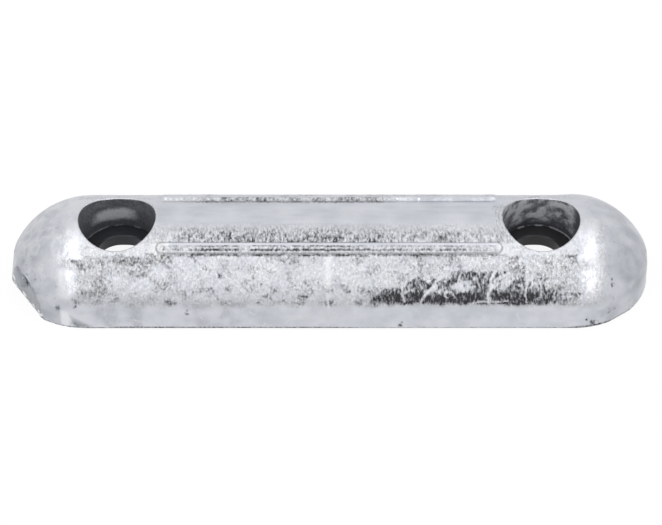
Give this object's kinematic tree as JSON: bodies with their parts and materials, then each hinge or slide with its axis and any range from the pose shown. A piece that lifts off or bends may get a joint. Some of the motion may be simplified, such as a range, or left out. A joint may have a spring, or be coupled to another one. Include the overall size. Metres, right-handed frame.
{
  "type": "sacrificial anode",
  "caption": "Bolt-on hull anode: a domed zinc bar with half-round ends, cast round a flat steel strap, with counterbored bolt slots.",
  "frame": {"origin": "middle of the flat base, which bears on the hull", "axes": "+X along the length, towards the end with the vent cut; +Z out from the hull, towards the crown; the gate cut is at the -X, -Y corner"},
  "size_m": [0.306, 0.077, 0.036],
  "materials": {
    "cast_zinc": "as cast: satin where the mould was smooth, hammered and streaked on the front shoulder, dark mould wash in the bolt wells",
    "black_steel": "hot rolled, with its dark mill scale"
  },
  "bodies": {
    "root": {"zinc_casting": "cast_zinc", "steel_strap": "black_steel"}
  },
  "joints": []
}
